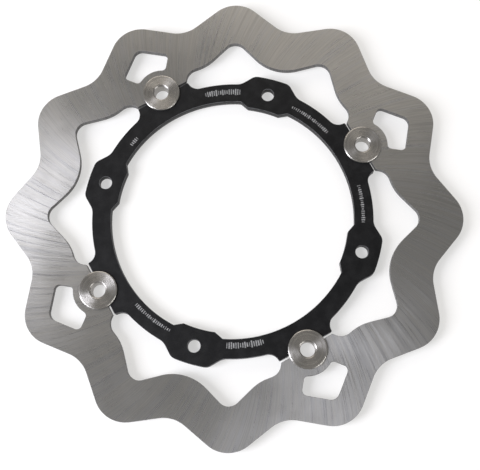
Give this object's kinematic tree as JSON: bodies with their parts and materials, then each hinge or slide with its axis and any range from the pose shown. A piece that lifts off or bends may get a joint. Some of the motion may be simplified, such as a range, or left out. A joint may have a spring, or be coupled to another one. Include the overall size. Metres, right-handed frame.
{
  "type": "brake disc rotor",
  "caption": "Floating motorcycle brake disc: a wavy steel band with cut-out windows, held on a slim black carrier ring by hollow spinning bobbins.",
  "frame": {"origin": "on the axle line, in the carrier's back face, which lies on the wheel hub", "axes": "+Z along the axle, out of the side that shows the bobbin heads; the bobbins stand on the X and Y axes and the wheel bolts at 45 degrees between them"},
  "size_m": [0.27, 0.27, 0.0089],
  "materials": {
    "ground_stainless": "ground across the band in long curved strokes",
    "black_anodised": "black anodised, satin",
    "turned_steel": "turned, with fine rings",
    "spring_steel": "rolled strip",
    "washer_steel": "pressed and tumbled, zinc plated",
    "phosphated_steel": "dark phosphated"
  },
  "bodies": {
    "carrier": {"carrier": "black_anodised", "wave_spring_1": "spring_steel", "wave_spring_2": "spring_steel", "wave_spring_3": "spring_steel", "wave_spring_4": "spring_steel"},
    "band": {"brake_band": "ground_stainless"},
    "bobbin_set_1": {"bobbin_1": "turned_steel", "flat_washer_1": "washer_steel", "circlip_1": "phosphated_steel"},
    "bobbin_set_2": {"bobbin_2": "turned_steel", "flat_washer_2": "washer_steel", "circlip_2": "phosphated_steel"},
    "bobbin_set_3": {"bobbin_3": "turned_steel", "flat_washer_3": "washer_steel", "circlip_3": "phosphated_steel"},
    "bobbin_set_4": {"bobbin_4": "turned_steel", "flat_washer_4": "washer_steel", "circlip_4": "phosphated_steel"}
  },
  "joints": [
    {"name": "band_float", "type": "slide", "parent": "carrier", "child": "band", "axis": [0, 0, 1], "range_m": [-0.0003, 0], "stiffness_N_per_m": 20000, "springref_m": 0.001, "deforming": ["wave_spring_1", "wave_spring_2", "wave_spring_3", "wave_spring_4"]},
    {"name": "bobbin_1_spin", "type": "hinge", "parent": "carrier", "child": "bobbin_set_1", "pos_m": [0.089, 0, 0.003], "axis": [0, 0, 1], "continuous": true},
    {"name": "bobbin_2_spin", "type": "hinge", "parent": "carrier", "child": "bobbin_set_2", "pos_m": [0, 0.089, 0.003], "axis": [0, 0, 1], "continuous": true},
    {"name": "bobbin_3_spin", "type": "hinge", "parent": "carrier", "child": "bobbin_set_3", "pos_m": [-0.089, 0, 0.003], "axis": [0, 0, 1], "continuous": true},
    {"name": "bobbin_4_spin", "type": "hinge", "parent": "carrier", "child": "bobbin_set_4", "pos_m": [0, -0.089, 0.003], "axis": [0, 0, 1], "continuous": true}
  ]
}
